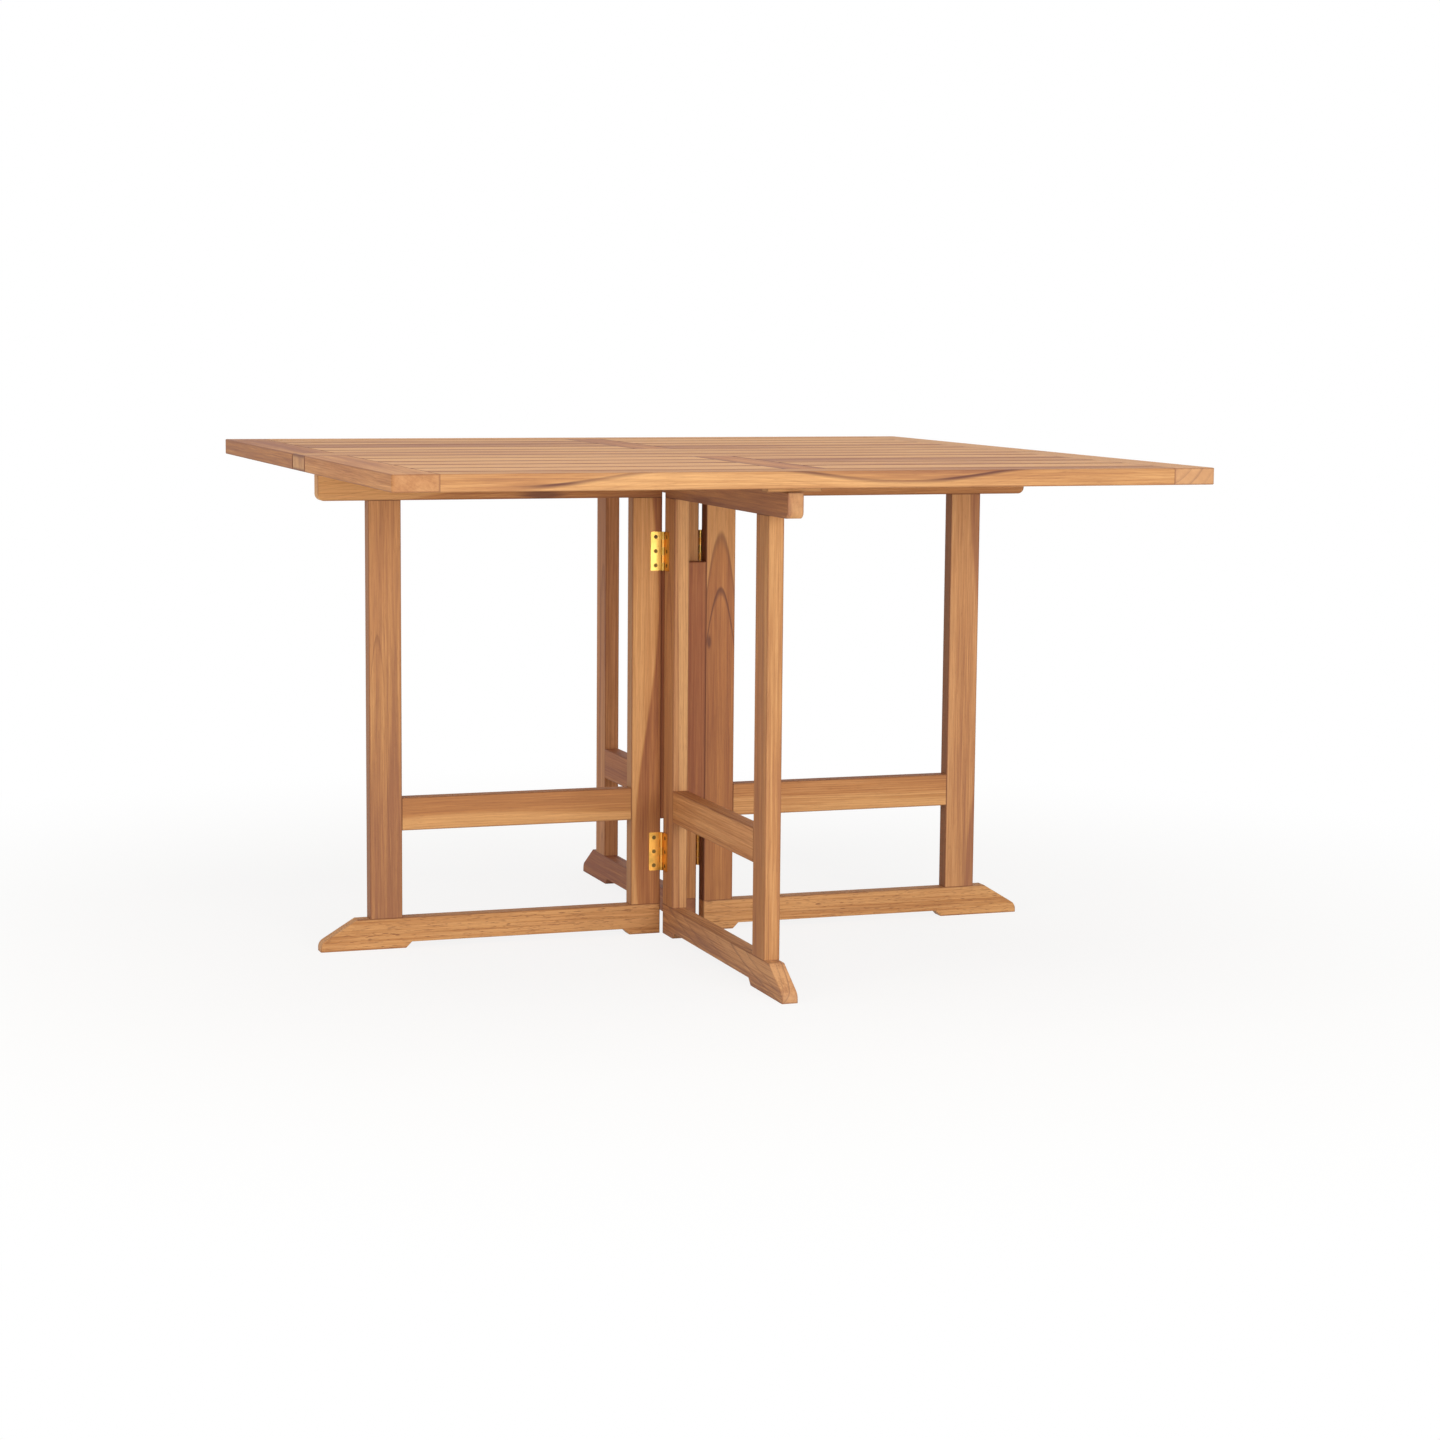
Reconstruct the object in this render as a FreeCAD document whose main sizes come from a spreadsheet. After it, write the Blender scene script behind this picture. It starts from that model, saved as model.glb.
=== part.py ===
import FreeCAD, Part
import Sketcher
import os
import re

# Folding garden table of oiled teak: a fixed centre frame under a narrow strip,
# two gates that swing out on brass butt hinges, and two slatted leaves that lie on them.
# X runs along the strip, Y to the back, Z up. The origin is on the floor under the middle.

# Driving dimensions in millimetres, and two counts.
DRIVING_SIZES = [
    ("table_height", 750, "floor to top face"),
    ("top_length", 1200, "along the centre strip"),
    ("top_depth", 1200, "across both open leaves"),
    ("top_thickness", 24, "strip and leaf rails"),
    ("strip_width", 86, "centre strip"),
    ("leaf_gap", 3, "between strip and leaf"),
    ("corner_radius", 5, "leaf corners in plan"),
    ("edge_radius", 1.5, "easing of every board"),
    ("end_rail_width", 64, "leaf rails at the left and right"),
    ("inner_rail_width", 92, "leaf rail beside the strip"),
    ("outer_rail_width", 60, "leaf rail at the table's edge"),
    ("cross_rail_width", 64, "leaf rail in the middle"),
    ("slat_count", 4, "slats in each bay"),
    ("slat_gap", 7, "drain gap beside a slat"),
    ("slat_thickness", 18, "slats, flush on top"),
    ("frame_thickness", 24, "boards of frames and gates"),
    ("frame_length", 538, "inner end to toe"),
    ("centre_gap", 72, "between the two fixed frames"),
    ("gate_slit", 4, "fixed frame's end to the gate's face"),
    ("gate_clearance", 0.5, "gate's end to the fixed frame's face"),
    ("stile_width", 48, "inner stiles"),
    ("leg_width", 50, "outer legs"),
    ("leg_reach", 412, "inner end to the leg"),
    ("top_rail_height", 44.5, "fixed top rails"),
    ("top_rail_corner", 10, "lower outer corner"),
    ("bottom_rail_height", 38, "above the foot pads"),
    ("pad_height", 9, "foot pads"),
    ("inner_pad_length", 50, "foot pad at the inner end"),
    ("outer_pad_length", 132, "foot pad at the toe"),
    ("pad_slope", 9, "run of a pad's slanted end"),
    ("toe_height", 13, "upright front of the toe"),
    ("toe_bevel", 56, "run of the toe's slope"),
    ("toe_radius", 14, "nose of the toe"),
    ("mid_rail_height", 50, "mid rails"),
    ("mid_rail_level", 181, "underside of the mid rails"),
    ("spacer_level", 181, "underside of the spacer"),
    ("spacer_height", 400, "spacer between the fixed frames"),
    ("dowel_radius", 5, "spacer dowels"),
    ("dowel_length", 60, "spacer dowels"),
    ("dowel_inset", 60, "end of the spacer to the nearest dowel"),
    ("tenon_thickness", 8, "tenons of frames and rails"),
    ("tenon_shoulder", 8, "frame tenons"),
    ("frame_tenon", 25, "length of leg and stile tenons"),
    ("mid_tenon", 20, "length of mid rail tenons"),
    ("rail_tenon", 30, "length of leaf rail tenons"),
    ("rail_shoulder", 10, "leaf rail tenons"),
    ("slat_tenon", 15, "length of slat tenons"),
    ("slat_tenon_thickness", 6, "slat tenons"),
    ("slat_shoulder", 12, "slat tenons"),
    ("cleat_length", 80, "bearing cleat over a gate"),
    ("cleat_width", 22, "bearing cleat"),
    ("cleat_thickness", 7.7, "bearing cleat"),
    ("cleat_inset", 55, "leaf's outer edge to the cleat"),
    ("cleat_clearance", 0.3, "cleat to the gate's top rail"),
    ("cleat_screw_inset", 8, "screw to the end of the cleat's seat"),
    ("hinge_length", 60, "butt hinges"),
    ("plate_reach", 20, "hinge axis to the plate's far edge"),
    ("plate_thickness", 1.6, "hinge plates"),
    ("plate_corner", 2, "hinge plate corners"),
    ("axis_height", 3, "hinge axis above the wood"),
    ("knuckle_count", 5, "knuckles of a hinge"),
    ("knuckle_radius", 2.5, "hinge knuckles"),
    ("knuckle_relief", 0.4, "knuckle to the other plate's edge"),
    ("knuckle_gap", 0.3, "between knuckles"),
    ("pin_radius", 1.3, "hinge pins"),
    ("pin_clearance", 0.05, "pin in a moving knuckle"),
    ("lower_hinge_level", 130, "middle of the lower gate hinges"),
    ("upper_hinge_drop", 127, "top's underside to the middle of the upper gate hinges"),
    ("leaf_hinge_inset", 170, "strip's end to the middle of the outer leaf hinges"),
    ("screw_line", 12, "hinge axis to the row of screws"),
    ("screw_end_inset", 8, "plate's end to the nearest screw"),
    ("screw_length", 16, "countersunk brass screws"),
    ("screw_radius", 1.6, "countersunk brass screws"),
    ("screw_head_radius", 3.2, "countersunk brass screws"),
    ("screw_tip", 4, "point of a countersunk screw"),
    ("recess_length", 3.6, "cross recess"),
    ("recess_width", 0.8, "cross recess"),
    ("recess_depth", 1, "cross recess"),
    ("long_screw_length", 50, "strip screws under the head"),
    ("long_screw_radius", 2.2, "strip screws"),
    ("long_screw_head_radius", 4.5, "strip screws"),
    ("long_screw_head_height", 3, "strip screws"),
    ("long_screw_tip", 6, "point of a strip screw"),
    ("long_screw_inset", 70, "leg or stile to the strip screw"),
    ("counterbore_radius", 5.5, "strip screw holes"),
    ("counterbore_depth", 10, "strip screw holes"),
]

doc = FreeCAD.newDocument("folding_garden_table")
sheet = doc.addObject("Spreadsheet::Sheet", "Sizes")
for row, (alias, value, note) in enumerate(DRIVING_SIZES, start=1):
    sheet.set(f"A{row}", note)
    sheet.set(f"B{row}", str(value))
    sheet.setAlias(f"B{row}", alias)
doc.recompute()

# Places that follow from the driving dimensions, as formulas for the expressions below.
TOP_UNDERSIDE = "(table_height - top_thickness)"
LEAF_EDGE = "(strip_width / 2 + leaf_gap)"
LEAF_DEPTH = f"(top_depth / 2 - {LEAF_EDGE})"
RAIL_SPAN_START = "(end_rail_width - top_length / 2)"
RAIL_SPAN = "(top_length - 2 * end_rail_width)"
CROSS_SPAN = f"({LEAF_DEPTH} - inner_rail_width - outer_rail_width)"
SLAT_WIDTH = f"(({CROSS_SPAN} - (slat_count + 1) * slat_gap) / slat_count)"
SLAT_LENGTH = "((top_length - cross_rail_width) / 2 - end_rail_width)"
GATE_MIDDLE = "(centre_gap / 2 - gate_slit - frame_thickness / 2)"
GATE_START = "(frame_thickness / 2 + gate_clearance)"
GATE_AXIS_X = "(centre_gap / 2 - gate_slit + axis_height)"
GATE_AXIS_Y = "(frame_thickness / 2 + axis_height)"
LEAF_AXIS_Y = "(strip_width / 2 + leaf_gap / 2)"
LEAF_HINGE_X = "(top_length / 2 - leaf_hinge_inset)"
LEAF_AXIS_Z = f"({TOP_UNDERSIDE} - axis_height)"
RAIL_TOP = "(pad_height + bottom_rail_height)"
RAIL_UNDERSIDE = f"({TOP_UNDERSIDE} - top_rail_height)"
LEG_SPAN = f"({RAIL_UNDERSIDE} - {RAIL_TOP})"
GATE_TOP = f"({TOP_UNDERSIDE} - cleat_thickness - cleat_clearance)"
UPPER_HINGE_LEVEL = f"({TOP_UNDERSIDE} - upper_hinge_drop)"

ALIAS = re.compile(r"\b(" + "|".join(alias for alias, value, note in DRIVING_SIZES) + r")\b")
X, Y, Z = FreeCAD.Vector(1, 0, 0), FreeCAD.Vector(0, 1, 0), FreeCAD.Vector(0, 0, 1)
AXES = (X, Y, Z)
TOUCH = 1e-3
pieces = []


def bind(thing, prop, formula):
    """Tie a property to a formula whose words are aliases of the sheet."""
    thing.setExpression(prop, ALIAS.sub(r"Sizes.\1", formula))


def seat(thing, corner):
    """Tie the position of an object to three formulas."""
    for axis, formula in zip("xyz", corner):
        bind(thing, f"Placement.Base.{axis}", formula)


def size(alias):
    """A driving dimension read back from the sheet."""
    return float(sheet.get(alias))


def piece(label, thing):
    """Name a finished sub-part; its label names its file."""
    thing.Label = label
    pieces.append(thing)
    return thing


def new_body(name, turn=0, base=("0", "0", "0")):
    """A body turned about Z and seated at a point given by formulas."""
    body = doc.addObject("PartDesign::Body", name)
    body.Placement = FreeCAD.Placement(FreeCAD.Vector(), FreeCAD.Rotation(Z, turn))
    seat(body, base)
    return body


def block(body, name, corner, spans, kind="Additive"):
    """Add or remove a box, from its low corner and its spans along X, Y and Z."""
    feature = body.newObject(f"PartDesign::{kind}Box", f"{body.Name}_{name}")
    for prop, formula in zip(("Length", "Width", "Height"), spans):
        bind(feature, prop, formula)
    seat(feature, corner)
    return feature


def cylinder(body, name, radius, height, base, kind="Additive"):
    """Add or remove a cylinder along the body's own Z."""
    feature = body.newObject(f"PartDesign::{kind}Cylinder", f"{body.Name}_{name}")
    bind(feature, "Radius", radius)
    bind(feature, "Height", height)
    seat(feature, base)
    return feature


def cone(body, name, low_radius, high_radius, height, base):
    """Add a cone along the body's own Z."""
    feature = body.newObject("PartDesign::AdditiveCone", f"{body.Name}_{name}")
    bind(feature, "Radius1", low_radius)
    bind(feature, "Radius2", high_radius)
    bind(feature, "Height", height)
    seat(feature, base)
    return feature


def ease(body, name, wanted, radius="edge_radius"):
    """Round those edges of the body so far that pass a test of middle, direction and box."""
    doc.recompute()
    base = body.Tip
    shape = base.Shape
    names = []
    for number, edge in enumerate(shape.Edges, start=1):
        along = edge.tangentAt(edge.FirstParameter)
        if wanted(edge.CenterOfMass, along, shape.BoundBox):
            names.append(f"Edge{number}")
    feature = body.newObject("PartDesign::Fillet", f"{body.Name}_{name}")
    feature.Base = (base, names)
    bind(feature, "Radius", radius)
    return feature


def parallel(along, axis):
    """Whether an edge runs along an axis."""
    return along.cross(axis).Length < 1e-6


def outline(body, name, corners, depth):
    """Pad a closed outline, drawn in the XZ plane, to both sides of it."""
    plane = next(item for item in body.Origin.OriginFeatures if item.Role == "XZ_Plane")
    sketch = body.newObject("Sketcher::SketchObject", f"{body.Name}_{name}_sketch")
    sketch.AttachmentSupport = (plane, [""])
    sketch.MapMode = "FlatFace"
    count = len(corners)
    ring = [FreeCAD.Rotation(Z, number * 360 / count).multVec(X) for number in range(count)]
    for number in range(count):
        sketch.addGeometry(Part.LineSegment(ring[number], ring[(number + 1) % count]))
    for number in range(count):
        sketch.addConstraint(Sketcher.Constraint("Coincident", number, 2, (number + 1) % count, 1))
    for number, corner in enumerate(corners):
        for kind, axis, formula in zip(("DistanceX", "DistanceY"), (-2, -1), corner):
            if formula == "0":
                sketch.addConstraint(Sketcher.Constraint("PointOnObject", number, 1, axis))
            else:
                index = sketch.addConstraint(Sketcher.Constraint(kind, -1, 1, number, 1, 1))
                bind(sketch, f"Constraints[{index}]", formula)
    pad = body.newObject("PartDesign::Pad", f"{body.Name}_{name}")
    pad.Profile = sketch
    pad.SideType = "Symmetric"
    bind(pad, "Length", depth)
    return pad


def board(name, turn, base, run, corner, spans, tenon=None):
    """A straight board with its four long edges eased and, where given, a tenon at both ends.

    run is the number of the long axis. tenon holds its length, its thickness, the axis that
    it is thin along, and the shoulder that it keeps along the other axis.
    """
    body = new_body(name, turn, base)
    block(body, "board", corner, spans)
    ease(body, "eased", lambda middle, along, box: parallel(along, AXES[run]))
    if tenon:
        length, thickness, thin, shoulder = tenon
        wide = 3 - run - thin
        tenon_corner, tenon_spans = list(corner), list(spans)
        tenon_corner[run] = f"{corner[run]} - {length}"
        tenon_spans[run] = f"{spans[run]} + 2 * {length}"
        tenon_corner[wide] = f"{corner[wide]} + {shoulder}"
        tenon_spans[wide] = f"{spans[wide]} - 2 * {shoulder}"
        tenon_corner[thin] = f"{corner[thin]} + ({spans[thin]} - {thickness}) / 2"
        tenon_spans[thin] = thickness
        block(body, "tenons", tenon_corner, tenon_spans)
    return body


def group(name, members):
    """Several separate solids in one object."""
    compound = doc.addObject("Part::Compound", name)
    compound.Links = members
    return compound


def housed(label, blank, guests):
    """A board with the mortises and holes that the ends and screws of its guests fill."""
    cut = doc.addObject("Part::Cut", f"{label}_cut")
    cut.Base = blank
    cut.Tool = group(f"{label}_guests", guests)
    return piece(label, cut)


def copy(name, master, axes, centre):
    """A copy of a master object, with its own X, Y and Z laid along the given axes."""
    link = doc.addObject("App::Link", name)
    link.LinkedObject = master
    link.Placement = FreeCAD.Placement(FreeCAD.Vector(), FreeCAD.Rotation(*axes, "XYZ"))
    seat(link, centre)
    return link


def half_frame(label, turn, base, top_level, stile_guests, top_guests):
    """A frame of five boards, from its inner end at x = 0 to the toe, centred on y = 0."""
    front = "-frame_thickness / 2"
    tenon = ("frame_tenon", "tenon_thickness", 1, "tenon_shoulder")
    stile = board(
        f"{label}_stile_blank", turn, base, 2,
        ("0", front, RAIL_TOP), ("stile_width", "frame_thickness", LEG_SPAN), tenon,
    )
    leg = board(
        f"{label}_leg_blank", turn, base, 2,
        ("leg_reach", front, RAIL_TOP), ("leg_width", "frame_thickness", LEG_SPAN), tenon,
    )
    mid_rail = board(
        f"{label}_mid_rail", turn, base, 0,
        ("stile_width", front, "mid_rail_level"),
        ("(leg_reach - stile_width)", "frame_thickness", "mid_rail_height"),
        ("mid_tenon", "tenon_thickness", 1, "tenon_shoulder"),
    )

    bottom = new_body(f"{label}_bottom_blank", turn, base)
    corners = (
        ("0", "0"),
        ("inner_pad_length", "0"),
        ("inner_pad_length + pad_slope", "pad_height"),
        ("frame_length - outer_pad_length - pad_slope", "pad_height"),
        ("frame_length - outer_pad_length", "0"),
        ("frame_length", "0"),
        ("frame_length", "toe_height"),
        ("frame_length - toe_bevel", RAIL_TOP),
        ("0", RAIL_TOP),
    )
    outline(bottom, "rail", corners, "frame_thickness")

    def at_nose(middle, along, box):
        return parallel(along, Y) and middle.x > box.XMax - TOUCH and middle.z > TOUCH

    ease(bottom, "nose", at_nose, "toe_radius")
    ease(bottom, "eased", lambda middle, along, box: not parallel(along, Y) and middle.z > TOUCH)

    top = new_body(f"{label}_top_blank", turn, base)
    corners = (
        ("0", RAIL_UNDERSIDE),
        ("frame_length", RAIL_UNDERSIDE),
        ("frame_length", top_level),
        ("0", top_level),
    )
    outline(top, "rail", corners, "frame_thickness")

    def at_low_corner(middle, along, box):
        return parallel(along, Y) and middle.x > box.XMax - TOUCH and middle.z < box.ZMin + TOUCH

    ease(top, "corner", at_low_corner, "top_rail_corner")
    ease(top, "eased", lambda middle, along, box: not parallel(along, Y))

    housed(f"{label}_top_rail", top, [stile, leg, *top_guests])
    housed(f"{label}_bottom_rail", bottom, [stile, leg])
    housed(f"{label}_inner_stile", stile, [mid_rail, *stile_guests])
    housed(f"{label}_outer_leg", leg, [mid_rail])
    piece(f"{label}_mid_rail", mid_rail)


def hinge_plate(name, first_knuckle, bore_radius, holes):
    """One plate of a butt hinge: axis along Z at the origin, plate towards X, wood below in Y."""
    body = new_body(f"{name}_blank")
    start = "(knuckle_radius + knuckle_relief)"
    back = "-axis_height"
    block(
        body, "plate", (start, back, "-hinge_length / 2"),
        (f"plate_reach - {start}", "plate_thickness", "hinge_length"),
    )
    ease(
        body, "corners",
        lambda middle, along, box: parallel(along, Y) and middle.x > box.XMax - TOUCH, "plate_corner",
    )
    pitch = "hinge_length / knuckle_count"
    for number in range(first_knuckle, int(size("knuckle_count")), 2):
        low = f"{number} * {pitch} - hinge_length / 2 + knuckle_gap / 2"
        height = f"{pitch} - knuckle_gap"
        block(body, f"web_{number}", ("0", back, low), (start, "plate_thickness", height))
        cylinder(body, f"knuckle_{number}", "knuckle_radius", height, ("0", "0", low))
    cylinder(body, "bore", bore_radius, "hinge_length", ("0", "0", "-hinge_length / 2"), "Subtractive")
    cut = doc.addObject("Part::Cut", name)
    cut.Base = body
    cut.Tool = holes
    return cut


def countersunk(name):
    """The blank of a countersunk screw, head up at z = 0."""
    body = new_body(name)
    cylinder(
        body, "shank", "screw_radius", "screw_length - screw_tip - plate_thickness",
        ("0", "0", "screw_tip - screw_length"),
    )
    cone(
        body, "head", "screw_radius", "screw_head_radius", "plate_thickness",
        ("0", "0", "-plate_thickness"),
    )
    cone(body, "tip", "0", "screw_radius", "screw_tip", ("0", "0", "-screw_length"))
    return body


def cross_recess(body, top):
    """The cross that a driver fits, cut into a head whose top is at the given height."""
    low = f"{top} - recess_depth"
    block(
        body, "recess", ("-recess_length / 2", "-recess_width / 2", low),
        ("recess_length", "recess_width", "recess_depth"), "Subtractive",
    )
    block(
        body, "cross", ("-recess_width / 2", "-recess_length / 2", low),
        ("recess_width", "recess_length", "recess_depth"), "Subtractive",
    )


def long_shank(name):
    """The shank of a strip screw, hanging from z = 0."""
    body = new_body(name)
    cylinder(
        body, "shank", "long_screw_radius", "long_screw_length - long_screw_tip",
        ("0", "0", "long_screw_tip - long_screw_length"),
    )
    cone(
        body, "tip", "0", "long_screw_radius", "long_screw_tip",
        ("0", "0", "-long_screw_length"),
    )
    return body


def row_of_three(name, master):
    """Three screws down a hinge plate, their heads flush with its face."""
    places = ("screw_end_inset - hinge_length / 2", "0", "hinge_length / 2 - screw_end_inset")
    return group(name, [
        copy(f"{name}_{number}", master, (X, -Z, Y), ("screw_line", "plate_thickness - axis_height", place))
        for number, place in enumerate(places)
    ])


# Masters that are copied: screws, the holes they fill, hinge parts, dowel and slat.
screw = countersunk("screw")
cross_recess(screw, "0")
screw_hole = countersunk("screw_hole")
screw_row = row_of_three("screw_row", screw)
hole_row = row_of_three("hole_row", screw_hole)

long_screw = long_shank("long_screw")
cylinder(long_screw, "head", "long_screw_head_radius", "long_screw_head_height", ("0", "0", "0"))
cross_recess(long_screw, "long_screw_head_height")
long_hole = long_shank("long_hole")
cylinder(long_hole, "counterbore", "counterbore_radius", "counterbore_depth", ("0", "0", "0"))

fixed_plate = hinge_plate("fixed_plate", 0, "pin_radius", hole_row)
moving_plate = hinge_plate("moving_plate", 1, "pin_radius + pin_clearance", hole_row)
hinge_pin = new_body("hinge_pin")
cylinder(hinge_pin, "pin", "pin_radius", "hinge_length", ("0", "0", "-hinge_length / 2"))

dowel = new_body("dowel")
cylinder(dowel, "dowel", "dowel_radius", "dowel_length", ("0", "0", "-dowel_length / 2"))

slat = board(
    "slat", 0, ("0", "0", "0"), 0,
    (f"-{SLAT_LENGTH} / 2", f"-{SLAT_WIDTH} / 2", "0"), (SLAT_LENGTH, SLAT_WIDTH, "slat_thickness"),
    ("slat_tenon", "slat_tenon_thickness", 2, "slat_shoulder"),
)

base_screws = []
strip_guests = []

# The spacer between the fixed frames, and the dowels that hold it to their stiles.
dowels = []
levels = (
    "spacer_level + dowel_inset",
    "spacer_level + spacer_height / 2",
    "spacer_level + spacer_height - dowel_inset",
)
for side, joint in (("left", "-centre_gap / 2"), ("right", "centre_gap / 2")):
    for number, level in enumerate(levels):
        dowels.append(copy(f"{side}_dowel_{number}", dowel, (Y, Z, X), (joint, "0", level)))
piece("spacer_dowels", group("spacer_dowels_group", dowels))

spacer = new_body("spacer_blank")
block(
    spacer, "board", ("-centre_gap / 2", "-frame_thickness / 2", "spacer_level"),
    ("centre_gap", "frame_thickness", "spacer_height"),
)
ease(spacer, "eased", lambda middle, along, box: parallel(along, X))
housed("spacer_block", spacer, dowels)

# Long screws up through the fixed top rails into the strip.
long_screws = []
long_holes = {"left": [], "right": []}
for side, sign in (("left", "-"), ("right", "")):
    reaches = ("stile_width + long_screw_inset", "leg_reach - long_screw_inset")
    for number, reach in enumerate(reaches):
        place = (f"{sign}(centre_gap / 2 + {reach})", "0", f"{RAIL_UNDERSIDE} + counterbore_depth")
        upward = (X, -Y, -Z)
        long_screws.append(copy(f"{side}_long_screw_{number}", long_screw, upward, place))
        long_holes[side].append(copy(f"{side}_long_hole_{number}", long_hole, upward, place))
    strip_guests += long_holes[side]
piece("strip_screws", group("strip_screws_group", long_screws))

# Gate hinges: one plate and the pin on the fixed frame's stile, one plate on the gate's.
for side, gate, sign, facing in (("left", "front_gate", "-", -1), ("right", "back_gate", "", 1)):
    on_frame = (facing * X, facing * Y, Z)
    on_gate = (facing * Y, facing * X, -Z)
    frame_plates, gate_plates, pins, gate_screws, frame_holes, gate_holes = [], [], [], [], [], []
    for place, level in (("lower", "lower_hinge_level"), ("upper", UPPER_HINGE_LEVEL)):
        middle = (f"{sign}{GATE_AXIS_X}", f"{sign}{GATE_AXIS_Y}", level)
        name = f"{gate}_{place}"
        frame_plates.append(copy(f"{name}_frame_plate", fixed_plate, on_frame, middle))
        pins.append(copy(f"{name}_pin", hinge_pin, on_frame, middle))
        base_screws.append(copy(f"{name}_frame_screws", screw_row, on_frame, middle))
        frame_holes.append(copy(f"{name}_frame_holes", hole_row, on_frame, middle))
        gate_plates.append(copy(f"{name}_gate_plate", moving_plate, on_gate, middle))
        gate_screws.append(copy(f"{name}_gate_screws", screw_row, on_gate, middle))
        gate_holes.append(copy(f"{name}_gate_holes", hole_row, on_gate, middle))
    piece(f"{gate}_hinge_frame_plates", group(f"{gate}_frame_plates_group", frame_plates))
    piece(f"{gate}_hinge_gate_plates", group(f"{gate}_gate_plates_group", gate_plates))
    piece(f"{gate}_hinge_pins", group(f"{gate}_pins_group", pins))
    piece(f"{gate}_hinge_screws", group(f"{gate}_screws_group", gate_screws))

    frame_turn = 90 - 90 * facing
    half_frame(
        f"{side}_frame", frame_turn, (f"{sign}centre_gap / 2", "0", "0"), TOP_UNDERSIDE,
        [*frame_holes, *dowels], long_holes[side],
    )
    half_frame(
        gate, 90 * facing, (f"{sign}{GATE_MIDDLE}", f"{sign}{GATE_START}", "0"), GATE_TOP,
        gate_holes, [],
    )

# Leaves, drawn from their inner edge at y = 0 outwards; the front one is turned about Z.
for label, turn, sign, facing, sides in (
    ("front_leaf", 180, "-", -1, ("right", "left")),
    ("back_leaf", 0, "", 1, ("left", "right")),
):
    base = ("0", f"{sign}{LEAF_EDGE}", TOP_UNDERSIDE)
    rail_tenons = ("rail_tenon", "tenon_thickness", 2, "rail_shoulder")
    rail_spans = (RAIL_SPAN, "inner_rail_width", "top_thickness")
    inner = board(
        f"{label}_inner_blank", turn, base, 0, (RAIL_SPAN_START, "0", "0"), rail_spans, rail_tenons,
    )
    outer = board(
        f"{label}_outer_blank", turn, base, 0,
        (RAIL_SPAN_START, f"{LEAF_DEPTH} - outer_rail_width", "0"),
        (RAIL_SPAN, "outer_rail_width", "top_thickness"), rail_tenons,
    )
    cross = board(
        f"{label}_cross_blank", turn, base, 1, ("-cross_rail_width / 2", "inner_rail_width", "0"),
        ("cross_rail_width", CROSS_SPAN, "top_thickness"), rail_tenons,
    )
    cleat = board(
        f"{label}_cleat_blank", turn, base, 0,
        (
            f"{GATE_MIDDLE} - cleat_length / 2",
            f"{LEAF_DEPTH} - cleat_inset - cleat_width",
            "-cleat_thickness",
        ),
        ("cleat_length", "cleat_width", "cleat_thickness"),
    )

    leaf_screws, leaf_holes, cleat_holes = [], [], []
    strip_plates, leaf_plates, pins = [], [], []
    offsets = (f"-{LEAF_HINGE_X}", "0", LEAF_HINGE_X)
    for number, offset in enumerate(offsets):
        middle = (offset, f"{sign}{LEAF_AXIS_Y}", LEAF_AXIS_Z)
        on_leaf = (facing * Y, -Z, -facing * X)
        on_strip = (-facing * Y, -Z, facing * X)
        name = f"{label}_{number}"
        strip_plates.append(copy(f"{name}_strip_plate", fixed_plate, on_strip, middle))
        pins.append(copy(f"{name}_pin", hinge_pin, on_strip, middle))
        base_screws.append(copy(f"{name}_strip_screws", screw_row, on_strip, middle))
        strip_guests.append(copy(f"{name}_strip_holes", hole_row, on_strip, middle))
        leaf_plates.append(copy(f"{name}_leaf_plate", moving_plate, on_leaf, middle))
        leaf_screws.append(copy(f"{name}_leaf_screws", screw_row, on_leaf, middle))
        leaf_holes.append(copy(f"{name}_leaf_holes", hole_row, on_leaf, middle))
    for number, offset in enumerate((
        f"({GATE_MIDDLE} - cleat_length / 2 + cleat_screw_inset)",
        "(cross_rail_width / 2 - cleat_screw_inset)",
    )):
        place = (
            f"{sign}{offset}",
            f"{sign}({LEAF_EDGE} + {LEAF_DEPTH} - cleat_inset - cleat_width / 2)",
            f"{TOP_UNDERSIDE} - cleat_thickness",
        )
        name = f"{label}_cleat_{number}"
        leaf_screws.append(copy(f"{name}_screw", screw, (X, -Y, -Z), place))
        cleat_holes.append(copy(f"{name}_hole", screw_hole, (X, -Y, -Z), place))
    piece(f"{label}_hinge_strip_plates", group(f"{label}_strip_plates_group", strip_plates))
    piece(f"{label}_hinge_leaf_plates", group(f"{label}_leaf_plates_group", leaf_plates))
    piece(f"{label}_hinge_pins", group(f"{label}_pins_group", pins))
    piece(f"{label}_screws", group(f"{label}_screws_group", leaf_screws))

    slat_groups = []
    for side, bay in zip(sides, ("-", "")):
        slats = []
        for number in range(int(size("slat_count"))):
            reach = f"{number} * ({SLAT_WIDTH} + slat_gap) + inner_rail_width + slat_gap"
            place = (
                f"{sign}({bay}(cross_rail_width + {SLAT_LENGTH}) / 2)",
                f"{sign}({LEAF_EDGE} + {reach} + {SLAT_WIDTH} / 2)",
                "table_height - slat_thickness",
            )
            slats.append(copy(f"{label}_{side}_slat_{number}", slat, (facing * X, facing * Y, Z), place))
        slat_groups.append(group(f"{label}_{side}_slats_group", slats))
        piece(f"{label}_slats_{side}", slat_groups[-1])

    starts = ("-top_length / 2", f"{RAIL_SPAN_START} + {RAIL_SPAN}")
    for side, start, slats in zip(sides, starts, slat_groups):
        end = new_body(f"{label}_{side}_blank", turn, base)
        block(end, "board", (start, "0", "0"), ("end_rail_width", LEAF_DEPTH, "top_thickness"))

        def at_table_corner(middle, along, box):
            far = max(abs(box.XMin), abs(box.XMax))
            return parallel(along, Z) and middle.y > box.YMax - TOUCH and abs(middle.x) > far - TOUCH

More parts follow.
